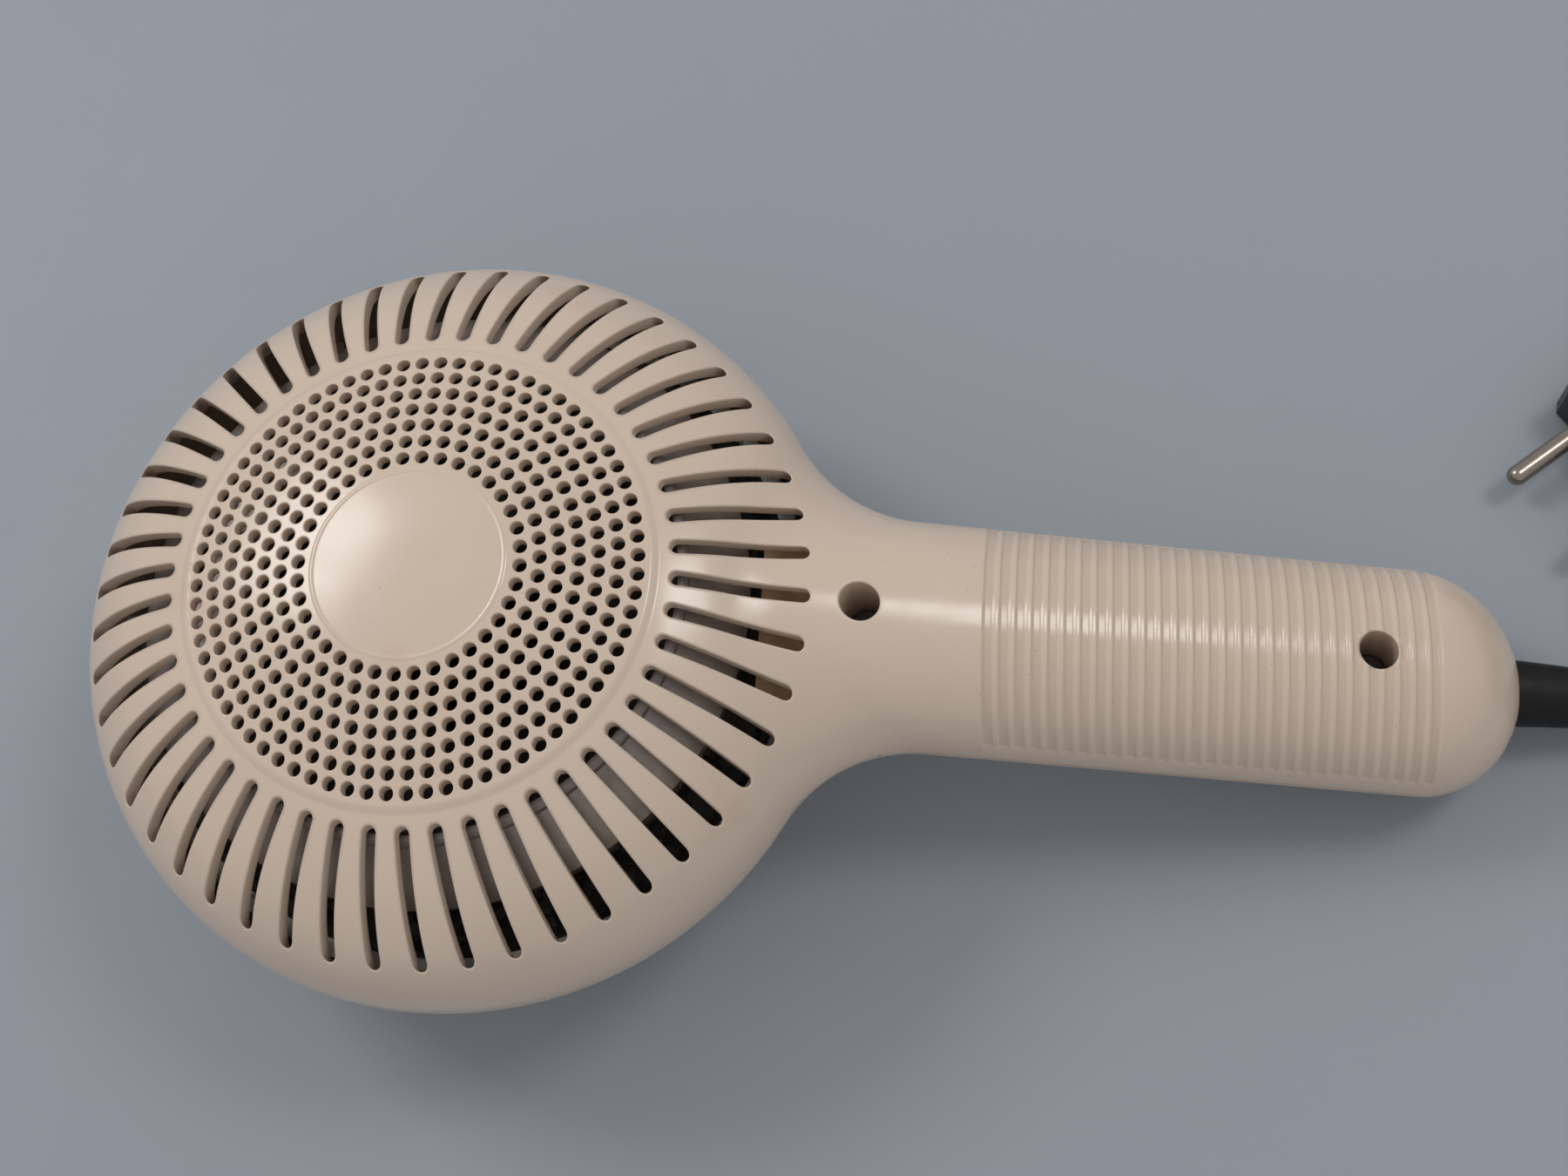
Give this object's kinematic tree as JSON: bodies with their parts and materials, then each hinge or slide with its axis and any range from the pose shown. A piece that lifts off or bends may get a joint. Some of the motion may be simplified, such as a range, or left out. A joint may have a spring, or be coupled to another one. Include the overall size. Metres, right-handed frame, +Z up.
{
  "type": "hair dryer",
  "caption": "Corded hair dryer with a round domed head, pierced rear intake, low outlet collar and a straight ribbed handle; lead and two-pin plug laid beside it.",
  "frame": {"origin": "middle of the box round the dryer without its lead, on the surface it stands on", "axes": "+Z up through the intake dome, from the outlet collar it stands on; +X along the handle, away from the head; +Y to the left of the handle seen from the head"},
  "size_m": [0.4225, 0.1743, 0.079],
  "materials": {
    "casing": "moulded, semi-gloss, warm light grey",
    "heat_plastic": "moulded, heat resistant, fine texture",
    "galvanised_steel": "galvanised sheet with a spangle",
    "bright_steel": "turned or stamped, bare",
    "mica": "mica board, satin",
    "heating_wire": "close-wound spiral, heat tinted",
    "rubber": "moulded",
    "magnet": "sintered ferrite",
    "laminations": "stacked sheets",
    "copper": "enamelled copper wire",
    "commutator_copper": "turned copper segments",
    "bronze": "sintered, oil filled",
    "carbon": "pressed carbon",
    "fan_metal": "stamped sheet, satin",
    "board": "pressed paper laminate, light brown",
    "black_plastic": "moulded",
    "contact_brass": "stamped",
    "film_block": "dipped resin",
    "lead_jacket": "soft black sheath, satin",
    "plug_plastic": "moulded, black",
    "plated_pin": "nickel plated",
    "live_wire": "brown insulation",
    "neutral_wire": "blue insulation",
    "zinc_screw": "zinc plated"
  },
  "bodies": {
    "dryer": {"back_shell": "casing", "front_shell": "casing", "outlet_grille": "heat_plastic", "duct_liner": "galvanised_steel", "heater_sleeve": "mica", "heater_plate_lower": "mica", "heater_plate_upper": "mica", "heater_coil_main": "heating_wire", "heater_coil_boost": "heating_wire", "thermal_cutout": "bright_steel", "motor_bracket": "bright_steel", "rubber_mounts": "rubber", "bracket_screws": "zinc_screw", "motor_can": "bright_steel", "motor_end_cap": "heat_plastic", "motor_screws": "zinc_screw", "bearing_upper": "bronze", "bearing_lower": "bronze", "field_magnets": "magnet", "brushes": "carbon", "switch_body": "heat_plastic", "switch_contacts": "contact_brass", "terminal_board": "board", "rectifier_diodes": "heat_plastic", "suppressor_capacitor": "film_block", "inner_sheath": "lead_jacket", "lead_live": "live_wire", "lead_neutral": "neutral_wire", "lead_switched": "live_wire", "cord_clamp": "board", "clamp_screws": "zinc_screw", "case_screws": "zinc_screw", "strain_relief": "rubber", "mains_cord": "lead_jacket", "cord_coil": "lead_jacket", "plug_body": "plug_plastic", "plug_pins": "plated_pin", "mains_cord_end": "lead_jacket"},
    "rotor": {"motor_shaft": "bright_steel", "armature_core": "laminations", "armature_windings": "copper", "commutator": "commutator_copper", "fan_hub": "bright_steel", "fan_plate": "fan_metal", "fan_ring": "fan_metal", "fan_blades": "fan_metal"},
    "slider": {"switch_knob": "black_plastic"}
  },
  "joints": [
    {"name": "fan_spin", "type": "hinge", "parent": "dryer", "child": "rotor", "pos_m": [-0.0615, 0, 0.05], "axis": [0, 0, 1], "continuous": true},
    {"name": "switch_slide", "type": "slide", "parent": "dryer", "child": "slider", "axis": [0.9699, 0, -0.2436], "range_m": [0, 0.008]}
  ]
}
